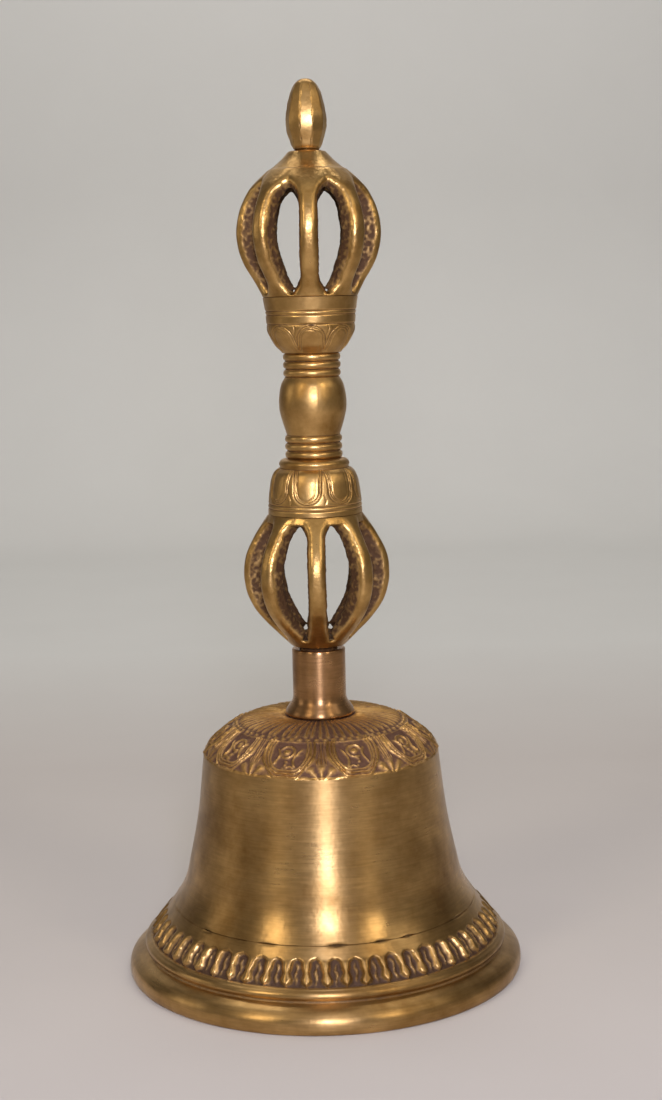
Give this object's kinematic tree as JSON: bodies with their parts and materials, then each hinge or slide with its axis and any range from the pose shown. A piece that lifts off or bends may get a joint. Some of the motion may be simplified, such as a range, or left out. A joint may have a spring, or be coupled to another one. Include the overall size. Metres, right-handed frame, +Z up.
{
  "type": "tibetan hand bell",
  "caption": "Cast bell with a domed shoulder and thick flared lip, on a handle of openwork balls, lotus cups and a bead, with a hanging clapper.",
  "frame": {"origin": "centre of the lip's resting plane, on the bell's axis", "axes": "+Z up the bell's axis to the bud, -Y towards the front rib of both openwork balls, +X to the right of the front"},
  "size_m": [0.1002, 0.1002, 0.2217],
  "materials": {
    "bell_bronze": "cast bell bronze, turned and brushed on the waist and lip, with dark patina in the ornament",
    "ferrule_brass": "turned and brushed, slightly coppery",
    "cage_bronze": "cast, filed smooth on the outside, rough and dark inside",
    "handle_brass": "turned and polished by handling, with engraved lines",
    "hanger_steel": "plain steel, dulled",
    "clapper_iron": "forged iron with a dark scale, worn bright where it strikes"
  },
  "bodies": {
    "bell": {"bell_body": "bell_bronze", "neck_ferrule": "ferrule_brass", "lower_cage": "cage_bronze", "lower_lotus_cup": "handle_brass", "lower_collar": "handle_brass", "centre_bead": "handle_brass", "upper_collar": "handle_brass", "upper_lotus_cup": "handle_brass", "upper_cage": "cage_bronze", "finial_bud": "handle_brass", "handle_core": "hanger_steel", "hanger_eye_bolt": "hanger_steel", "crown_washer": "hanger_steel", "crown_nut": "hanger_steel"},
    "link": {"clapper_link": "hanger_steel"},
    "clapper": {"clapper_rod": "clapper_iron", "clapper_bob": "clapper_iron"}
  },
  "joints": [
    {"name": "link_swing", "type": "hinge", "parent": "bell", "child": "link", "pos_m": [0, 0, 0.0449], "axis": [1, 0, 0], "range_deg": [-33, 33]},
    {"name": "clapper_swing", "type": "hinge", "parent": "link", "child": "clapper", "pos_m": [0, 0, 0.03745], "axis": [0, 1, 0], "range_deg": [-33, 33]}
  ]
}
